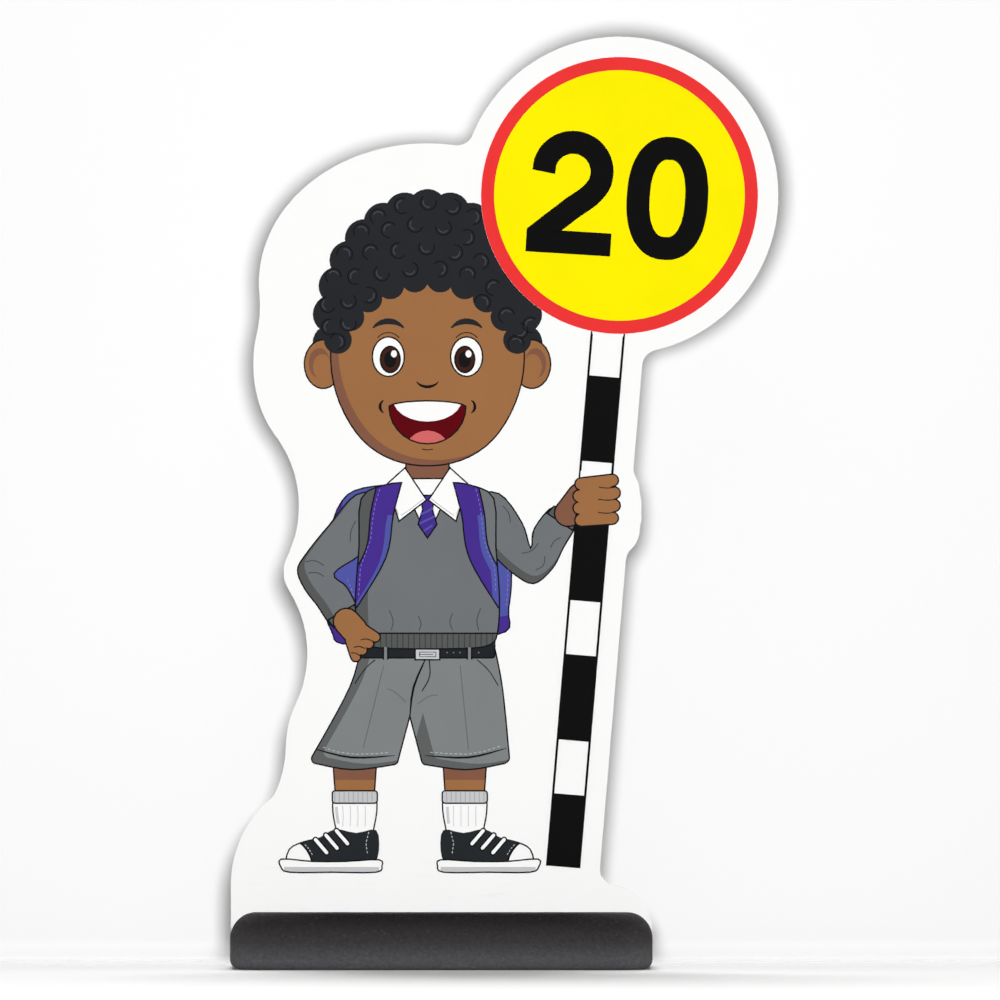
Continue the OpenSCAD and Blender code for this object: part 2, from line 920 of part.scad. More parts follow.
module disc_ring() {
    color("#ef3737") translate([disc_x, -board_t / 2, disc_z]) rotate([90, 0, 0])
        linear_extrude(2 * film_t) difference() {
            circle(d = disc_d, $fn = disc_fn);
            circle(d = disc_d - 2 * ring_w, $fn = disc_fn);
        }
}

module disc_face() {
    color("#fff100") translate([disc_x, -board_t / 2, disc_z]) rotate([90, 0, 0])
        linear_extrude(2 * film_t) circle(d = disc_d - 2 * ring_w, $fn = disc_fn);
}

module pole_bands() {
    color("#0b0b0b") film(1) ink("pole");
}

// Printed child

module print_outline() {
    color("#141416") film(0) ground();
}

module print_hair() {
    color("#27282c") film(1) ink("hair");
}

module print_skin() {
    color("#9f6e45") film(1) ink("skin");
}

module print_skin_shade() {
    color("#845946") film(1) ink("skin shade");
}

module print_eyes() {
    color("#3d2118") film(1) ink("eyes");
}

module print_mouth() {
    color("#5f0511") film(1) ink("mouth");
}

module print_tongue() {
    color("#d36765") film(1) ink("tongue");
}

module print_jumper() {
    color("#717578") film(1) ink("jumper");
}

module print_jumper_shade() {
    color("#585a59") film(1) ink("jumper shade");
}

module print_violet() {
    color("#472f8f") film(1) ink("violet");
}

module print_blue() {
    color("#5157a5") film(1) ink("blue");
}

module print_belt() {
    color("#212429") film(1) ink("belt");
}

module print_shorts() {
    color("#808485") film(1) ink("shorts");
}

module print_shorts_shade() {
    color("#606262") film(1) ink("shorts shade");
}

module print_light_grey() {
    color("#c9cacc") film(1) ink("light grey");
}

module print_shoes() {
    color("#25292c") film(1) ink("shoes");
}

base();
board();
disc_ring();
disc_face();
pole_bands();
print_outline();
print_hair();
print_skin();
print_skin_shade();
print_eyes();
print_mouth();
print_tongue();
print_jumper();
print_jumper_shade();
print_violet();
print_blue();
print_belt();
print_shorts();
print_shorts_shade();
print_light_grey();
print_shoes();
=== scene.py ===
import math

import bpy
from mathutils import Matrix, Vector


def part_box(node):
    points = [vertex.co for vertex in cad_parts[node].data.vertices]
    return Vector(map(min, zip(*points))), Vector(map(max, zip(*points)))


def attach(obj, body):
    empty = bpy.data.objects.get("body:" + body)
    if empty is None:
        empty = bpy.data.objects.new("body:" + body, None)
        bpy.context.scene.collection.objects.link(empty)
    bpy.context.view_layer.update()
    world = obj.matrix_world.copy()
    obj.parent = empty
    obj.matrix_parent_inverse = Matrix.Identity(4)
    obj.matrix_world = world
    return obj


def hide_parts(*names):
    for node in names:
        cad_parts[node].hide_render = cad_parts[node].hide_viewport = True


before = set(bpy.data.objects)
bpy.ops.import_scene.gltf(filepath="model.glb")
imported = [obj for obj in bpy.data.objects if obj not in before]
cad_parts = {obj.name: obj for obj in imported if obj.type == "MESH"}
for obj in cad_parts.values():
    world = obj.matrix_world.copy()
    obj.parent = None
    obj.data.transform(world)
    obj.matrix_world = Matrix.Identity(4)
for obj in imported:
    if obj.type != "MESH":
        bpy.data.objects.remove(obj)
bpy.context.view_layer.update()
print("frame loaded:", len(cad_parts), "nodes")

mm = 0.001
boardFace = -5.0 * mm    # front of the bare board
colourFace = -5.4 * mm   # front of the colour films


# Small helpers

def deselectAll():
    if bpy.context.object and bpy.context.object.mode != "OBJECT":
        bpy.ops.object.mode_set(mode="OBJECT")
    bpy.ops.object.select_all(action="DESELECT")


def selectOnly(piece):
    deselectAll()
    piece.select_set(True)
    bpy.context.view_layer.objects.active = piece


def rename(piece, name):
    piece.name = name
    piece.data.name = name


def selectEdges(piece, test):
    # enters edit mode with the edges selected whose two ends pass the test
    selectOnly(piece)
    bpy.ops.object.mode_set(mode="EDIT")
    bpy.ops.mesh.select_mode(type="EDGE")
    bpy.ops.mesh.select_all(action="DESELECT")
    bpy.ops.object.mode_set(mode="OBJECT")
    mesh = piece.data
    for edge in mesh.edges:
        edge.select = all(test(mesh.vertices[v].co) for v in edge.vertices)
    bpy.ops.object.mode_set(mode="EDIT")


def colourOf(code):
    # a hex colour as written on a paint chart, made linear
    parts = [int(code[i:i + 2], 16) / 255 for i in (1, 3, 5)]
    return (*[p / 12.92 if p <= 0.04045 else ((p + 0.055) / 1.055) ** 2.4 for p in parts], 1.0)


def settle(piece):
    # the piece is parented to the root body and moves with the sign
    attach(piece, "root")


# Node helpers

def put(tree, kind, x=0, y=0, **settings):
    node = tree.nodes.new(kind)
    node.location = (x, y)
    for key, value in settings.items():
        setattr(node, key, value)
    return node


def feed(tree, source, node, socket):
    tree.links.new(source, node.inputs[socket])


def number(tree, operation, first, second=None, x=0, y=0, clamp=False):
    node = put(tree, "ShaderNodeMath", x, y, operation=operation, use_clamp=clamp)
    for index, value in enumerate((first, second)):
        if value is None:
            continue
        if isinstance(value, (int, float)):
            node.inputs[index].default_value = value
        else:
            tree.links.new(value, node.inputs[index])
    return node.outputs[0]


def blendColours(tree, share, first, second, x=0, y=0):
    node = put(tree, "ShaderNodeMix", x, y, data_type="RGBA")
    for index, value in ((0, share), (6, first), (7, second)):
        if isinstance(value, (int, float, tuple)):
            node.inputs[index].default_value = value
        else:
            tree.links.new(value, node.inputs[index])
    return node.outputs[2]


def spread(tree, value, low, high, newLow, newHigh, x=0, y=0, smooth=False):
    node = put(tree, "ShaderNodeMapRange", x, y)
    if smooth:
        node.interpolation_type = "SMOOTHSTEP"
    feed(tree, value, node, "Value")
    for key, amount in (("From Min", low), ("From Max", high), ("To Min", newLow), ("To Max", newHigh)):
        if isinstance(amount, (int, float)):
            node.inputs[key].default_value = amount
        else:
            feed(tree, amount, node, key)
    return node.outputs[0]


def noise(tree, vector, scale, detail=3.0, rough=0.5, x=0, y=0):
    node = put(tree, "ShaderNodeTexNoise", x, y)
    feed(tree, vector, node, "Vector")
    node.inputs["Scale"].default_value = scale
    node.inputs["Detail"].default_value = detail
    node.inputs["Roughness"].default_value = rough
    return node.outputs["Fac"]


def newGroup(name, inputs, outputs):
    group = bpy.data.node_groups.new(name, "ShaderNodeTree")
    for title, kind, value in inputs:
        socket = group.interface.new_socket(title, in_out="INPUT", socket_type=kind)
        socket.default_value = value
    for title, kind in outputs:
        group.interface.new_socket(title, in_out="OUTPUT", socket_type=kind)
    return group, put(group, "NodeGroupInput", -900), put(group, "NodeGroupOutput", 900)


def useGroup(tree, group, x=0, y=0, **values):
    node = put(tree, "ShaderNodeGroup", x, y, node_tree=group)
    for key, value in values.items():
        node.inputs[key].default_value = value
    return node


colourKind, valueKind = "NodeSocketColor", "NodeSocketFloat"


grainSetting = {"screenTurn": 22, "screenPitch": 900, "cloudSize": 14, "pebbleSize": 260, "fineSize": 1400}


def makeFilmGrain():
    # printed ink: a faint dot screen, uneven density and a slightly pebbled gloss
    group, start, end = newGroup(
        "filmGrain",
        [("Ink", colourKind, (1, 1, 1, 1)), ("Density", valueKind, 0.05), ("Gloss", valueKind, 0.4)],
        [("Colour", colourKind), ("Roughness", valueKind), ("Height", valueKind)],
    )
    place = put(group, "ShaderNodeTexCoord", -900, -200).outputs["Object"]
    turned = put(group, "ShaderNodeMapping", -700, -300)
    turned.inputs["Rotation"].default_value = (0, math.radians(grainSetting["screenTurn"]), 0)
    feed(group, place, turned, "Vector")
    screen = put(group, "ShaderNodeTexVoronoi", -500, -300)
    screen.inputs["Scale"].default_value = grainSetting["screenPitch"]
    screen.inputs["Randomness"].default_value = 0
    feed(group, turned.outputs[0], screen, "Vector")
    dots = spread(group, screen.outputs["Distance"], 0.2, 0.6, -1, 1, -300, -300)
    clouds = spread(group, noise(group, place, grainSetting["cloudSize"], 4, 0.55, -500, 0), 0.3, 0.7, -1, 1, -300, 0)
    fine = noise(group, place, grainSetting["fineSize"], 2, 0.5, -500, -600)
    uneven = number(group, "ADD", number(group, "MULTIPLY", dots, 0.35), clouds, -100, -100)
    amount = number(group, "MULTIPLY", uneven, start.outputs["Density"], 50, -100)
    factor = number(group, "ADD", amount, 1.0, 200, -100)
    tinted = put(group, "ShaderNodeVectorMath", 400, 0, operation="SCALE")
    feed(group, start.outputs["Ink"], tinted, 0)
    feed(group, factor, tinted, "Scale")
    feed(group, tinted.outputs[0], end, "Colour")
    change = spread(group, fine, 0.3, 0.7, -0.05, 0.07, 0, -600)
    feed(group, number(group, "ADD", start.outputs["Gloss"], change, 400, -300), end, "Roughness")
    pebbles = number(group, "MULTIPLY", noise(group, place, grainSetting["pebbleSize"], 2, 0.5), 1.6)
    feed(group, number(group, "ADD", fine, pebbles), end, "Height")
    return group


def makeRibLines():
    # dark upright rib lines between two heights, as drawn on a knitted welt
    group, start, end = newGroup(
        "ribLines",
        [("Low", valueKind, 0.0), ("High", valueKind, 0.0), ("Pitch", valueKind, 5 * mm), ("Width", valueKind, 0.2)],
        [("Mask", valueKind)],
    )
    parts = put(group, "ShaderNodeSeparateXYZ", -500)
    feed(group, put(group, "ShaderNodeTexCoord", -700).outputs["Object"], parts, 0)
    turns = number(group, "DIVIDE", parts.outputs["X"], start.outputs["Pitch"], -300, 100)
    phase = number(group, "FRACT", turns, None, -100, 100)
    line = number(group, "LESS_THAN", phase, start.outputs["Width"], 100, 100)
    above = number(group, "GREATER_THAN", parts.outputs["Z"], start.outputs["Low"], -100, -100)
    below = number(group, "LESS_THAN", parts.outputs["Z"], start.outputs["High"], -100, -250)
    inside = number(group, "MULTIPLY", above, below, 100, -150)
    feed(group, number(group, "MULTIPLY", line, inside, 300), end, "Mask")
    return group


def makeScuffs():
    # short level rub marks that fade out with height
    group, start, end = newGroup(
        "scuffs",
        [("Amount", valueKind, 0.3), ("Reach", valueKind, 0.1)],
        [("Mask", valueKind)],
    )
    place = put(group, "ShaderNodeTexCoord", -900).outputs["Object"]
    drawn = put(group, "ShaderNodeMapping", -700)
    drawn.inputs["Scale"].default_value = (25, 25, 160)
    feed(group, place, drawn, "Vector")
    marks = spread(group, noise(group, drawn.outputs[0], 1.0, 4, 0.6, -500), 0.58, 0.72, 0, 1, -300)
    parts = put(group, "ShaderNodeSeparateXYZ", -500, -300)
    feed(group, place, parts, 0)
    near = spread(group, parts.outputs["Z"], 0, start.outputs["Reach"], 1, 0, -300, -300, smooth=True)
    worn = number(group, "MULTIPLY", marks, near)
    feed(group, number(group, "MULTIPLY", worn, start.outputs["Amount"]), end, "Mask")
    return group


filmGrain = makeFilmGrain()
ribLines = makeRibLines()
scuffs = makeScuffs()
print("shared effects built")


def newMaterial(name):
    material = bpy.data.materials.new(name)
    material.use_nodes = True
    tree = material.node_tree
    return material, tree, tree.nodes["Principled BSDF"]


def raiseSurface(tree, shader, height, strength, distance):
    bump = put(tree, "ShaderNodeBump", -250, -400)
    bump.inputs["Strength"].default_value = strength
    bump.inputs["Distance"].default_value = distance
    feed(tree, height, bump, "Height")
    feed(tree, bump.outputs[0], shader, "Normal")


inkSetting = {"density": 0.035, "gloss": 0.7, "shine": 0.03, "ribTone": "#1c1d1f", "relief": 0.03 * mm}


def inkMaterial(name, ink, density=inkSetting["density"], ribs=()):
    # ribs: (low, high, pitch, width, strength) of each ribbed band on this ink
    material, tree, shader = newMaterial(name)
    film = useGroup(tree, filmGrain, -500, 0, Ink=colourOf(ink), Density=density, Gloss=inkSetting["gloss"])
    colour = film.outputs["Colour"]
    for low, high, pitch, width, strength in ribs:
        band = useGroup(tree, ribLines, -700, -300, Low=low * mm, High=high * mm, Pitch=pitch * mm, Width=width)
        share = number(tree, "MULTIPLY", band.outputs["Mask"], strength, -400, -300)
        colour = blendColours(tree, share, colour, colourOf(inkSetting["ribTone"]), -250, 100)
    feed(tree, colour, shader, "Base Color")
    feed(tree, film.outputs["Roughness"], shader, "Roughness")
    raiseSurface(tree, shader, film.outputs["Height"], 0.25, inkSetting["relief"])
    shader.inputs["Specular IOR Level"].default_value = inkSetting["shine"]
    return material


# Every printed colour, by the node that it is laid on

inks = {
    "disc_ring": ("signRed", "#ef3737", {}),
    "disc_face": ("signYellow", "#fff100", {"density": 0.02}),
    "pole_bands": ("poleBlack", "#0b0b0b", {"density": 0.1}),
    "print_outline": ("lineBlack", "#141416", {"density": 0.06}),
    "print_hair": ("hairInk", "#27282c", {"density": 0.08}),
    "print_skin": ("skinInk", "#9f6e45", {}),
    "print_skin_shade": ("skinShadeInk", "#845946", {}),
    "print_eyes": ("eyeInk", "#3d2118", {}),
    "print_mouth": ("mouthInk", "#5f0511", {}),
    "print_tongue": ("tongueInk", "#d36765", {}),
    "print_jumper": ("jumperInk", "#717578", {}),
    "print_jumper_shade": ("jumperShadeInk", "#585a59", {"ribs": [(335, 358.6, 6, 0.2, 0.55)]}),
    "print_violet": ("violetInk", "#472f8f", {}),
    "print_blue": ("blueInk", "#5157a5", {}),
    "print_belt": ("beltInk", "#212429", {"density": 0.08}),
    "print_shorts": ("shortsInk", "#808485", {}),
    "print_shorts_shade": ("shortsShadeInk", "#606262", {}),
    "print_light_grey": ("lightGreyInk", "#c9cacc", {"ribs": [(178, 189, 5, 0.22, 0.3)]}),
    "print_shoes": ("shoeInk", "#25292c", {"density": 0.08}),
}
inkLooks = {}
for nodeName, (lookName, code, extras) in inks.items():
    inkLooks[nodeName] = inkMaterial(lookName, code, **extras)
    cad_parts[nodeName].data.materials.clear()
    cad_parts[nodeName].data.materials.append(inkLooks[nodeName])
print("inks laid on", len(inks), "films")


# The board: white foamed plastic sheet, routed round the outline

boardSetting = {
    "edgeRound": 0.5 * mm, "roundSteps": 2, "sharpFrom": 60, "smoothTo": 18,
    "faceColour": "#fafaf9", "cutColour": "#e9e9e4", "rubColour": "#c9c8c2",
    "faceGloss": 0.55, "cutGloss": 0.85, "shine": 0.2, "grain": 0.004,
    "cellSize": 900, "cellDepth": 0.12 * mm, "toolMarks": 0.35, "rubAmount": 0.22, "rubReach": 0.16,
}


def foamSheetMaterial():
    material, tree, shader = newMaterial("foamSheet")
    place = put(tree, "ShaderNodeTexCoord", -1500).outputs["Object"]
    facing = put(tree, "ShaderNodeSeparateXYZ", -1300, 200)
    feed(tree, put(tree, "ShaderNodeNewGeometry", -1500, 300).outputs["True Normal"], facing, 0)
    flatness = number(tree, "ABSOLUTE", facing.outputs["Y"], None, -1100, 200)
    cut = spread(tree, flatness, 0.6, 0.9, 1, 0, -900, 200)
    film = useGroup(tree, filmGrain, -1100, -100, Ink=colourOf(boardSetting["faceColour"]),
                    Density=boardSetting["grain"], Gloss=boardSetting["faceGloss"])
    cells = put(tree, "ShaderNodeTexVoronoi", -1100, -400)
    cells.inputs["Scale"].default_value = boardSetting["cellSize"]
    feed(tree, place, cells, "Vector")
    pores = spread(tree, cells.outputs["Distance"], 0.1, 0.55, 0.82, 1, -900, -400)
    cutTone = put(tree, "ShaderNodeVectorMath", -700, -400, operation="SCALE")
    cutTone.inputs[0].default_value = colourOf(boardSetting["cutColour"])[:3]
    feed(tree, pores, cutTone, "Scale")
    rub = useGroup(tree, scuffs, -900, -650, Amount=boardSetting["rubAmount"], Reach=boardSetting["rubReach"])
    colour = blendColours(tree, cut, film.outputs["Colour"], cutTone.outputs[0], -500, 100)
    colour = blendColours(tree, rub.outputs["Mask"], colour, colourOf(boardSetting["rubColour"]), -300, 100)
    feed(tree, colour, shader, "Base Color")
    rough = number(tree, "MULTIPLY", cut, boardSetting["cutGloss"] - boardSetting["faceGloss"], -500, -100)
    feed(tree, number(tree, "ADD", film.outputs["Roughness"], rough, -300, -100), shader, "Roughness")
    # the router leaves fine level steps across the cut
    stretched = put(tree, "ShaderNodeMapping", -1300, -650)
    stretched.inputs["Scale"].default_value = (60, 2600, 60)
    feed(tree, place, stretched, "Vector")
    steps = noise(tree, stretched.outputs[0], 1.0, 2, 0.5, -1100, -800)
    tracks = number(tree, "MULTIPLY", steps, boardSetting["toolMarks"])
    cutHeight = number(tree, "MULTIPLY", number(tree, "ADD", pores, tracks), cut, -500, -500)
    height = number(tree, "ADD", cutHeight, number(tree, "MULTIPLY", film.outputs["Height"], 0.15), -400, -500)
    raiseSurface(tree, shader, height, 0.5, boardSetting["cellDepth"])
    shader.inputs["Specular IOR Level"].default_value = boardSetting["shine"]
    return material


def copyOfNode(node, name):
    # a CAD node is loose triangles, so its copy is merged and its flat faces joined
    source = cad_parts[node]
    deselectAll()
    piece = source.copy()
    piece.data = source.data.copy()
    for key in list(piece.keys()):
        del piece[key]
    piece.parent = None
    piece.matrix_world = Matrix.Identity(4)
    bpy.context.collection.objects.link(piece)
    rename(piece, name)
    selectOnly(piece)
    bpy.ops.mesh.customdata_custom_splitnormals_clear()
    bpy.ops.object.mode_set(mode="EDIT")
    bpy.ops.mesh.select_all(action="SELECT")
    bpy.ops.mesh.remove_doubles(threshold=0.01 * mm)
    bpy.ops.mesh.dissolve_limited(angle_limit=math.radians(0.4))
    bpy.ops.mesh.normals_make_consistent(inside=False)
    bpy.ops.object.mode_set(mode="OBJECT")
    return piece


def makeBoard():
    piece = copyOfNode("board", "boardPanel")
    piece.data.materials.clear()
    piece.data.materials.append(foamSheetMaterial())
    edge = piece.modifiers.new("edgeRound", "BEVEL")
    edge.width = boardSetting["edgeRound"]
    edge.segments = boardSetting["roundSteps"]
    edge.limit_method = "ANGLE"
    edge.angle_limit = math.radians(boardSetting["sharpFrom"])
    bpy.ops.object.modifier_apply(modifier="edgeRound")
    # under the bevel's own steps, so that the wide faces stay level
    bpy.ops.object.shade_smooth_by_angle(angle=math.radians(boardSetting["smoothTo"]))
    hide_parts("board")
    settle(piece)
    return piece


boardPanel = makeBoard()
print("board panel:", len(boardPanel.data.polygons), "faces")


# The base: moulded recycled rubber

# the base's four height tones are painted light and shade, not a colour of the rubber: painted light makes the foot
# paler, and painted shade darkens the rest towards a near-black line along the top edge
baseSetting = {
    "paintedShadeEdgeTone": "#0c0b0c", "paintedShadeTopTone": "#1b1819", "paintedShadeMiddleTone": "#353334", "paintedLightFootTone": "#545457",
    "fleckTone": "#8d8b88", "fleckShare": 0.05, "rubTone": "#77746f", "rubAmount": 0.3, "rubReach": 0.03,
    "crumbSize": 420, "crumbDepth": 0.35 * mm, "gloss": 0.8, "shine": 0.1,
}


def rubberMaterial():
    material, tree, shader = newMaterial("recycledRubber")
    place = put(tree, "ShaderNodeTexCoord", -1500).outputs["Object"]
    parts = put(tree, "ShaderNodeSeparateXYZ", -1300, 300)
    feed(tree, place, parts, 0)
    low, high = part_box("base")
    # painted light and shade: the colour runs by height alone, from a paler foot up to a near-black top edge
    level = spread(tree, parts.outputs["Z"], low.z, high.z, 0, 1, -1100, 300)
    paintedShadeTones = put(tree, "ShaderNodeValToRGB", -900, 300)
    ramp = paintedShadeTones.color_ramp
    ramp.elements[0].color = colourOf(baseSetting["paintedLightFootTone"])
    ramp.elements[1].color = colourOf(baseSetting["paintedShadeEdgeTone"])
    for at, tone in ((0.5, baseSetting["paintedShadeMiddleTone"]), (0.93, baseSetting["paintedShadeTopTone"])):
        ramp.elements.new(at).color = colourOf(tone)
    feed(tree, level, paintedShadeTones, "Fac")
    crumb = put(tree, "ShaderNodeTexVoronoi", -1100, -100)
    crumb.inputs["Scale"].default_value = baseSetting["crumbSize"]
    feed(tree, place, crumb, "Vector")
    shade = put(tree, "ShaderNodeSeparateColor", -900, -100)
    feed(tree, crumb.outputs["Color"], shade, 0)
    speck = spread(tree, shade.outputs["Red"], 0, 1, 0.88, 1.12, -700, -100)
    pale = number(tree, "GREATER_THAN", shade.outputs["Green"], 0.985, -700, -300)
    toned = put(tree, "ShaderNodeVectorMath", -500, 200, operation="SCALE")
    feed(tree, paintedShadeTones.outputs["Color"], toned, 0)
    feed(tree, speck, toned, "Scale")
    flecks = number(tree, "MULTIPLY", pale, baseSetting["fleckShare"])
    flecked = blendColours(tree, flecks, toned.outputs[0], colourOf(baseSetting["fleckTone"]), -300, 200)
    rub = useGroup(tree, scuffs, -500, -600, Amount=baseSetting["rubAmount"], Reach=baseSetting["rubReach"])
    rubbed = blendColours(tree, rub.outputs["Mask"], flecked, colourOf(baseSetting["rubTone"]), -150, 200)
    feed(tree, rubbed, shader, "Base Color")
    gloss = baseSetting["gloss"]
    feed(tree, spread(tree, shade.outputs["Blue"], 0, 1, gloss - 0.1, gloss + 0.12, -700, -450), shader, "Roughness")
    grains = spread(tree, crumb.outputs["Distance"], 0, 0.7, 1, 0, -700, -750)
    height = number(tree, "ADD", grains, noise(tree, place, 90, 3, 0.5, -900, -750), -500, -750)
    raiseSurface(tree, shader, height, 0.55, baseSetting["crumbDepth"])
    shader.inputs["Specular IOR Level"].default_value = baseSetting["shine"]
    return material


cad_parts["base"].data.materials.clear()
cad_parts["base"].data.materials.append(rubberMaterial())
print("base finished")


# Drawn lines: strokes given as points (x, z) in millimetres, laid as thin flat ink

def drawLines(name, look, strokes, width=1.1, face=colourFace, height=0.07, closed=False, steps=6):
    deselectAll()
    made = []
    for stroke in strokes:
        bpy.ops.curve.primitive_bezier_curve_add(location=(0, 0, 0))
        line = bpy.context.object
        spline = line.data.splines[0]
        spline.bezier_points.add(len(stroke) - 2)
        for point, (x, z) in zip(spline.bezier_points, stroke):
            point.handle_left_type = point.handle_right_type = "AUTO"
            point.co = (x * mm, 0, z * mm)
        spline.use_cyclic_u = closed
        line.data.dimensions = "3D"
        line.data.resolution_u = steps
        line.data.bevel_depth = width * mm / 2
        line.data.bevel_resolution = 1
        line.data.use_fill_caps = True
        made.append(line)
        line.select_set(False)
    for line in made:
        line.select_set(True)
    bpy.context.view_layer.objects.active = made[0]
    bpy.ops.object.convert(target="MESH")
    if len(made) > 1:
        bpy.ops.object.join()
    piece = bpy.context.object
    rename(piece, name)
    piece.scale = (1, 2 * height / width, 1)
    piece.location = (0, face, 0)
    bpy.ops.object.transform_apply(location=True, rotation=True, scale=True)
    bpy.ops.object.shade_flat()
    piece.data.materials.clear()
    piece.data.materials.append(look)
    settle(piece)
    return piece


def arcPoints(x, z, radius, start, end, steps=5, squash=1.0):
    # points along an arc, the angles in degrees from the right and going up
    angles = [math.radians(start + (end - start) * i / (steps - 1)) for i in range(steps)]
    return [(x + radius * math.cos(a), z + squash * radius * math.sin(a)) for a in angles]


# The number on the round sign, drawn with a broad even stroke

numberSetting = {
    "height": 136, "figureWidth": 91, "stroke": 28.5, "gap": 12, "tilt": 3.6,
    "centre": (191, 829), "slot": "black_print",
}


def ringPoints(x, z, wide, high, steps=20, square=2.35):
    # points round a squared oval
    points = []
    for i in range(steps):
        across, up = (math.copysign(abs(part) ** (2 / square), part)
                      for part in (math.cos(2 * math.pi * i / steps), math.sin(2 * math.pi * i / steps)))
        points.append((x + wide * across, z + high * up))
    return points


def tilted(points, centre, angle):
    a = math.radians(-angle)
    x0, z0 = centre
    return [(x0 + x * math.cos(a) - z * math.sin(a), z0 + x * math.sin(a) + z * math.cos(a)) for x, z in points]


def makeNumber():
    tall, wide, stroke = numberSetting["height"], numberSetting["figureWidth"], numberSetting["stroke"]
    half = stroke / 2
    left = -wide - numberSetting["gap"] / 2
    foot = -tall / 2
    bow = (wide - stroke) / 2
    bowZ = foot + tall - half - bow
    two = arcPoints(left + wide / 2, bowZ, bow, 184, -28, 10)
    turn, heel = (left + wide * 0.47, foot + tall * 0.35), (left + 0.30 * stroke, foot + 0.62 * stroke)
    two += [turn, ((turn[0] + heel[0]) / 2, (turn[1] + heel[1]) / 2), heel]
    bar = [(left, foot + half), (left + wide / 2, foot + half), (left + wide, foot + half)]
    nought = ringPoints(numberSetting["gap"] / 2 + wide / 2, 0, bow, tall / 2 - half)
    centre, angle = numberSetting["centre"], numberSetting["tilt"]
    for name, strokes, closed in (("figureTwo", [two, bar], False), ("figureNought", [nought], True)):
        strokes = [tilted(points, centre, angle) for points in strokes]
        drawLines(name, inkLooks["pole_bands"], strokes, stroke, closed=closed, steps=16)


makeNumber()
print("number drawn on the sign")


# The black edge along the white bands of the pole

poleSetting = {
    "top": (191, 829), "lean": 4.8, "width": 37, "edge": 2.9, "inset": 1.25,
    "whiteRuns": [(150.5, 197), (285, 298), (435, 497), (585, 647)],
}


def onPole(across, down):
    # the place at a distance across and down the leaning pole
    lean = math.radians(poleSetting["lean"])
    x, z = poleSetting["top"]
    return (x + across * math.cos(lean) - down * math.sin(lean), z - across * math.sin(lean) - down * math.cos(lean))


poleReach = poleSetting["width"] / 2 - poleSetting["inset"]
poleStrokes = [
    [onPole(side * poleReach, start), onPole(side * poleReach, end)]
    for side in (-1, 1) for start, end in poleSetting["whiteRuns"]
]
drawLines("poleEdges", inkLooks["pole_bands"], poleStrokes, poleSetting["edge"])


# Fine line work on the picture, as strokes in millimetres

lineLooks = {
    "shine": inkMaterial("hairShineInk", "#454850"),
    "fold": inkMaterial("foldInk", "#4a4c4d"),
    "crease": inkMaterial("creaseInk", "#696c6d"),
    "stitch": inkMaterial("stitchInk", "#c4c6c8"),
    "strapStitch": inkMaterial("strapStitchInk", "#8577c8"),
    "paper": inkMaterial("paperShadeInk", "#cdced0"),
    "hole": inkMaterial("beltHoleInk", "#777a7e"),
}
black = inkLooks["print_outline"]


def dashes(points, dash=3.0, gap=2.2):
    # cuts a run of points into short even strokes
    strokes, stroke, left, drawing = [], [points[0]], dash, True
    for (x0, z0), (x1, z1) in zip(points, points[1:]):
        length = math.hypot(x1 - x0, z1 - z0)
        gone = 0.0
        while length - gone > left:
            gone += left
            place = (x0 + (x1 - x0) * gone / length, z0 + (z1 - z0) * gone / length)
            if drawing:
                strokes.append(stroke + [place])
            stroke, drawing = [place], not drawing
            left = dash if drawing else gap
        left -= length - gone
        if drawing:
            stroke.append((x1, z1))
    return strokes


def mirrored(strokes, axis=-15):
    return [[(2 * axis - x, z) for x, z in stroke] for stroke in strokes]


hairSetting = {
    "curlSize": 8.5, "turn": 67, "span": 235,
    "curls": [
        (-68, 806), (-42, 818), (-14, 822), (12, 817), (34, 806), (-86, 790), (-56, 792), (-28, 798),
        (2, 795), (27, 784), (-104, 766), (-76, 768), (-46, 770), (-16, 774), (14, 768), (42, 758),
        (-116, 742), (-92, 742), (-64, 746), (-34, 750), (-2, 750), (28, 744), (56, 730), (-122, 712),
        (-100, 716), (-78, 722), (44, 714), (70, 700), (-120, 688), (-100, 692), (84, 684), (-112, 672),
        (80, 670), (96, 690),
    ],
}


def curlStrokes(shift, size, span):
    strokes = []
    for index, (x, z) in enumerate(hairSetting["curls"]):
        first = (index * hairSetting["turn"] + shift) % 360
        strokes.append(arcPoints(x, z, size, first, first + span, 6))
    return strokes


drawLines("hairCurls", black, curlStrokes(0, hairSetting["curlSize"], hairSetting["span"]), 1.5)
drawLines("hairShine", lineLooks["shine"], curlStrokes(30, hairSetting["curlSize"] - 3, 120), 1.4)

faceStrokes = [
    arcPoints(-57, 656, 19, 52, 128, 5, squash=1.36), arcPoints(27, 656, 19, 52, 128, 5, squash=1.36),
    arcPoints(-15, 568, 16, 248, 292, 4, squash=0.75),
]
drawLines("faceLines", black, faceStrokes, 1.2)

handStrokes = [
    [(187, 516), (178, 515), (169, 516)], [(188, 503), (178, 502), (168, 503)], [(186, 489), (177, 488), (168, 489)],
    [(-74, 351), (-81, 353), (-87, 352)], [(-82, 343), (-89, 345), (-94, 344)], [(-87, 335), (-93, 338), (-97, 338)],
]
drawLines("handLines", black, handStrokes, 1.2)

foldStrokes = [
    [(-146, 436), (-136, 437), (-126, 432)], [(-143, 424), (-133, 424), (-126, 420)],
    [(-92, 480), (-97, 469), (-98, 457)], [(104, 456), (97, 448), (86, 445)], [(111, 442), (109, 432), (101, 427)],
    [(128, 462), (121, 458), (117, 451)], [(66, 496), (72, 488), (74, 478)],
    [(-54, 362), (-52, 372), (-56, 384)], [(-24, 362), (-22, 370), (-25, 378)], [(12, 362), (9, 372), (12, 381)],
    [(40, 362), (38, 373), (42, 386)],
]
drawLines("jumperFolds", lineLooks["fold"], foldStrokes, 1.2)

tieStrokes = [
    [(-22.5, 487), (-15, 490), (-9, 494)], [(-23.5, 477), (-15, 481), (-6.5, 485)],
    [(-19, 469), (-15, 471.5), (-9.5, 475)],
]
drawLines("tieStripes", inkLooks["print_blue"], tieStrokes, 2.4)

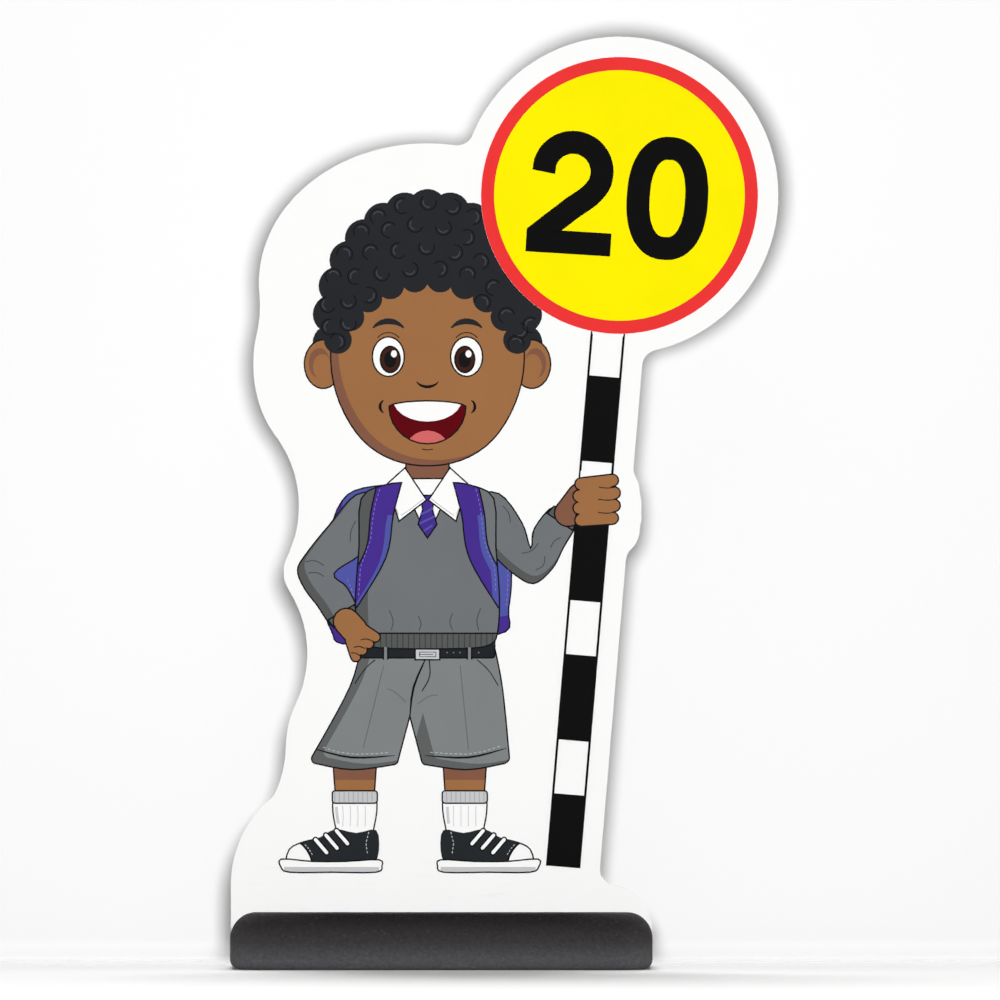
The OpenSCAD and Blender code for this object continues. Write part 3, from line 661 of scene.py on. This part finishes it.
collarStrokes = [[(-43.5, 485.5), (-30, 495), (-19, 503.5)], [(-49, 494), (-46, 486.5)]]
collarStrokes += mirrored(collarStrokes)
drawLines("collarStitch", lineLooks["paper"], collarStrokes, 1.3, face=boardFace)

strapStrokes = dashes([
    (-66, 514), (-71, 498), (-74, 480), (-76, 460), (-81, 446), (-87, 430), (-88, 412), (-89, 398),
])
strapStrokes += dashes([
    (37, 514), (41, 498), (43.5, 480), (45.5, 460), (50, 446), (57, 430), (58, 412), (58.5, 400),
])
drawLines("strapStitches", lineLooks["strapStitch"], strapStrokes, 0.9)
bagStrokes = dashes([(71.5, 428), (71, 408), (69.5, 384)]) + dashes([(-101, 417), (-96, 405), (-93, 396)])
drawLines("bagStitches", lineLooks["strapStitch"], bagStrokes, 0.9)

shortsStrokes = [
    [(-71, 331), (-82, 321), (-93, 305)], [(38, 331), (50, 320), (61, 303)],
    [(-13, 331), (-13, 312), (-21, 297)],
]
drawLines("shortsSeams", black, shortsStrokes, 1.2)
creaseStrokes = [
    [(-62, 325), (-72, 284), (-84, 236)], [(20, 325), (24, 284), (29, 234)],
    [(-38, 285), (-50, 296), (-58, 300)], [(-26, 283), (-12, 292), (-4, 293)],
]
drawLines("shortsCreases", lineLooks["crease"], creaseStrokes, 1.3)
hemStitches = dashes([(-127, 237), (-112, 232), (-92, 229.5), (-72, 230), (-54, 231.5)])
hemStitches += dashes([(-12, 231.5), (8, 230), (28, 229.5), (46, 232.5), (66, 239)])
drawLines("shortsStitches", lineLooks["stitch"], hemStitches, 0.8)

loopStrokes = [[(-60, 331), (-60, 338), (-60, 344.5)], [(30, 331), (30, 338), (30, 344)]]
drawLines("beltLoopRims", black, loopStrokes, 6.6, height=0.05)
drawLines("beltLoops", inkLooks["print_shorts"], loopStrokes, 4.2, height=0.09)
buckleCorners = [(-23.5, 334), (-6, 334), (-6, 339), (-23.5, 339), (-23.5, 334)]
buckleStrokes = [list(pair) for pair in zip(buckleCorners, buckleCorners[1:])] + [[(-23.5, 336.5), (-9, 336.5)]]
drawLines("buckleLines", lineLooks["fold"], buckleStrokes, 0.9)
holeStrokes = [[(x - 0.8, 338.5), (x + 0.8, 338.5)] for x in (6, 13, 20, 40)]
drawLines("beltHoles", lineLooks["hole"], holeStrokes, 1.5)

sockStrokes = [[(x, 152), (x * 0.995, 163), (x, 174)] for x in (-106, -98, -90, -82, 13, 21, 29, 37)]
drawLines("sockRibs", lineLooks["paper"], sockStrokes, 1.0, face=boardFace)
sockShade = [[(-110.6, 155), (-112.2, 165), (-112.8, 173)], [(7.6, 155), (6.8, 165), (6.2, 173)]]
drawLines("sockShade", lineLooks["paper"], sockShade, 3.6, face=boardFace)

shoeStrokes = dashes([(-146.5, 132.5), (-142, 127.5), (-138.5, 121.5), (-137, 118.5)], 2.2, 1.6)
shoeStrokes += dashes([(-78, 146), (-81, 134), (-79, 119)], 2.4, 1.8)
shoeStrokes += mirrored(shoeStrokes, -34)
drawLines("shoeStitches", lineLooks["stitch"], shoeStrokes, 0.9)
print("line work drawn")


# Light, floor, backdrop and camera

stageSetting = {
    "floorColour": "#f0f0f0", "wallColour": "#fafafa", "skyTone": "#e6e7e8", "floorReach": 9.0,
    "wallGap": 0.135, "coveRadius": 0.05, "wallWidth": 3.4, "wallHeight": 3.0,
    "ambient": 0.11, "topLamp": 9, "frontLamp": 197, "frontAway": 5.0, "frontHigh": 0.7, "frontSize": 0.66,
    "backSun": 2.6, "backTilt": 35, "sideSun": 1.5, "sideTilt": 87, "sunSpread": 30,
    "topPlace": (-0.4, -1.6, 3.4), "topAim": (0, 0, 0.3), "topSize": (3.0, 2.0),
    "paleLift": 0.095, "topShare": 0.2,
}
cameraSetting = {
    "distance": 24.0, "frameWidth": 1.073, "sensor": 36, "centreX": 62.8 * mm, "centreZ": 502.2 * mm,
}


def seenRays(tree):
    # 1 for rays that show a surface: to the camera, in a reflection or through glass
    path = put(tree, "ShaderNodeLightPath", -700, -200)
    seen = number(tree, "ADD", path.outputs["Is Camera Ray"], path.outputs["Is Glossy Ray"], -500, -200)
    return number(tree, "ADD", seen, path.outputs["Is Transmission Ray"], -350, -200, clamp=True)


def paleMaterial(name, colour):
    # matt and pale; what the lamps lack on a slope is made up, so that floor and wall look even
    frontLevel = stageSetting["frontLamp"] / (math.pi * stageSetting["frontAway"]) ** 2
    backLevel = stageSetting["backSun"] / math.pi
    tilt = math.radians(stageSetting["backTilt"])
    material, tree, shader = newMaterial(name)
    tree.nodes.remove(shader)
    matt = put(tree, "ShaderNodeBsdfDiffuse", 0, 100)
    matt.inputs["Color"].default_value = colourOf(colour)
    lift = put(tree, "ShaderNodeEmission", 0, 0)
    normal = put(tree, "ShaderNodeNewGeometry", -1300, 0).outputs["Normal"]
    lacking = frontLevel + stageSetting["paleLift"]
    lamps = (
        (frontLevel, (0, -1, 0)), (backLevel, (0, math.sin(tilt), math.cos(tilt))),
        (stageSetting["topShare"], (0, 0, 1)),
    )
    for level, toLamp in lamps:
        facing = put(tree, "ShaderNodeVectorMath", -1100, 0, operation="DOT_PRODUCT")
        feed(tree, normal, facing, 0)
        facing.inputs[1].default_value = toLamp
        lit = number(tree, "MULTIPLY", number(tree, "MAXIMUM", facing.outputs["Value"], 0.0, -900), level, -750)
        lacking = number(tree, "SUBTRACT", lacking, lit, -600, clamp=True)
    feed(tree, number(tree, "MULTIPLY", lacking, seenRays(tree), -150, 0), lift, "Strength")
    lit = put(tree, "ShaderNodeAddShader", 150, 50)
    feed(tree, matt.outputs[0], lit, 0)
    feed(tree, lift.outputs[0], lit, 1)
    return material, tree, lit


def showWhere(tree, lit, share):
    clear = put(tree, "ShaderNodeBsdfTransparent", 150, -150)
    both = put(tree, "ShaderNodeMixShader", 350)
    feed(tree, share, both, 0)
    feed(tree, clear.outputs[0], both, 1)
    feed(tree, lit.outputs[0], both, 2)
    feed(tree, both.outputs[0], tree.nodes["Material Output"], "Surface")


def makeFloor():
    deselectAll()
    reach = stageSetting["floorReach"]
    bpy.ops.mesh.primitive_plane_add(size=2 * reach, location=(0, 0, 0))
    floor = bpy.context.object
    rename(floor, "studioFloor")
    material, tree, lit = paleMaterial("paleFloor", stageSetting["floorColour"])
    place = put(tree, "ShaderNodeTexCoord", -900, -400).outputs["Object"]
    far = put(tree, "ShaderNodeVectorMath", -700, -400, operation="LENGTH")
    feed(tree, place, far, 0)
    fade = spread(tree, far.outputs["Value"], 0.3 * reach, 0.95 * reach, 1, 0, -500, -400, smooth=True)
    # it takes shadows but throws no light, so the sign stands against an even white
    showWhere(tree, lit, number(tree, "MULTIPLY", fade, seenRays(tree), -150, -450))
    floor.data.materials.append(material)


def makeWall():
    # a white wall close behind, that is there only from the front, so the back can be looked at too
    deselectAll()
    gap, radius = stageSetting["wallGap"], stageSetting["coveRadius"]
    width = stageSetting["wallWidth"]
    bpy.ops.mesh.primitive_plane_add(size=1, location=(0, gap + radius / 2, 0.2 * mm))
    wall = bpy.context.object
    wall.scale = (width, radius, 1)
    bpy.ops.object.transform_apply(location=True, rotation=True, scale=True)
    rename(wall, "studioWall")
    back = gap + radius * 0.9
    selectEdges(wall, lambda place: place.y > back)
    bpy.ops.mesh.extrude_region_move(TRANSFORM_OT_translate={"value": (0, 0, stageSetting["wallHeight"])})
    selectEdges(wall, lambda place: place.y > back and place.z < radius)
    bpy.ops.mesh.bevel(offset=radius * 0.98, segments=14, affect="EDGES")
    bpy.ops.mesh.select_all(action="SELECT")
    bpy.ops.object.mode_set(mode="OBJECT")
    upright = max(wall.data.polygons, key=lambda face: face.area)
    if upright.normal.y > 0:
        bpy.ops.object.mode_set(mode="EDIT")
        bpy.ops.mesh.flip_normals()
        bpy.ops.object.mode_set(mode="OBJECT")
    bpy.ops.object.shade_smooth()
    material, tree, lit = paleMaterial("whiteWall", stageSetting["wallColour"])
    facing = put(tree, "ShaderNodeNewGeometry", -700, -500).outputs["Backfacing"]
    front = number(tree, "SUBTRACT", 1.0, facing, -350, -400)
    # the cove's foot fades into the floor, so that it leaves no line there
    parts = put(tree, "ShaderNodeSeparateXYZ", -900, -1000)
    feed(tree, put(tree, "ShaderNodeTexCoord", -1100, -1000).outputs["Object"], parts, 0)
    risen = spread(tree, parts.outputs["Z"], 0.02 * radius, 0.16 * radius, 0, 1, -700, -1000, smooth=True)
    shown = number(tree, "MULTIPLY", number(tree, "MULTIPLY", seenRays(tree), front), risen, -150, -300)
    # light from behind passes it, but isn't thrown back on it by the sign
    path = put(tree, "ShaderNodeLightPath", -700, -800)
    bounced = number(tree, "MULTIPLY", path.outputs["Is Shadow Ray"], path.outputs["Diffuse Depth"], -350, -700)
    showWhere(tree, lit, number(tree, "ADD", shown, bounced, 0, -300, clamp=True))
    wall.data.materials.append(material)


def makeLight():
    world = bpy.data.worlds.new("studioSky")
    bpy.context.scene.world = world
    world.use_nodes = True
    tree = world.node_tree
    glow = tree.nodes["Background"]
    glow.inputs["Color"].default_value = (1, 1, 1, 1)
    glow.inputs["Strength"].default_value = stageSetting["ambient"]
    shown = put(tree, "ShaderNodeBackground", 0, -200)
    shown.inputs["Color"].default_value = colourOf(stageSetting["skyTone"])
    both = put(tree, "ShaderNodeMixShader", 200)
    feed(tree, seenRays(tree), both, 0)
    feed(tree, glow.outputs[0], both, 1)
    feed(tree, shown.outputs[0], both, 2)
    feed(tree, both.outputs[0], tree.nodes["World Output"], "Surface")
    deselectAll()
    # from straight ahead, near enough for the sign's shadow to show all round it
    place = (cameraSetting["centreX"], -stageSetting["frontAway"], stageSetting["frontHigh"])
    bpy.ops.object.light_add(type="AREA", location=place, rotation=(math.pi / 2, 0, 0))
    face = bpy.context.object
    rename(face, "frontLamp")
    face.data.shape = "DISK"
    face.data.size = stageSetting["frontSize"]
    face.data.energy = stageSetting["frontLamp"]
    # one sun from behind for the floor's shadow, and one from each side for the cut edge
    suns = (
        ("backSun", -stageSetting["backTilt"], 0, stageSetting["backSun"]),
        ("leftSun", 0, -stageSetting["sideTilt"], stageSetting["sideSun"]),
        ("rightSun", 0, stageSetting["sideTilt"], stageSetting["sideSun"]),
    )
    for name, lean, turn, energy in suns:
        turned = (math.radians(lean), math.radians(turn), 0)
        bpy.ops.object.light_add(type="SUN", location=(0, 2, 3), rotation=turned)
        sun = bpy.context.object
        rename(sun, name)
        sun.data.energy = energy
        sun.data.angle = math.radians(stageSetting["sunSpread"])
    bpy.ops.object.light_add(type="AREA", location=stageSetting["topPlace"])
    lamp = bpy.context.object
    rename(lamp, "topLamp")
    lamp.data.shape = "RECTANGLE"
    lamp.data.size, lamp.data.size_y = stageSetting["topSize"]
    lamp.data.energy = stageSetting["topLamp"]
    aim = Vector(stageSetting["topAim"]) - lamp.location
    lamp.rotation_euler = aim.to_track_quat("-Z", "Y").to_euler()


def makeCamera():
    deselectAll()
    away = cameraSetting["distance"]
    place = (cameraSetting["centreX"], colourFace - away, cameraSetting["centreZ"])
    bpy.ops.object.camera_add(location=place, rotation=(math.pi / 2, 0, 0))
    camera = bpy.context.object
    rename(camera, "photoCamera")
    camera.data.sensor_width = cameraSetting["sensor"]
    camera.data.lens = cameraSetting["sensor"] * away / cameraSetting["frameWidth"]
    camera.data.clip_end = 100
    bpy.context.scene.camera = camera


makeFloor()
makeWall()
makeLight()
makeCamera()
bpy.context.scene.view_settings.view_transform = "Standard"
print("stage, light and camera set")
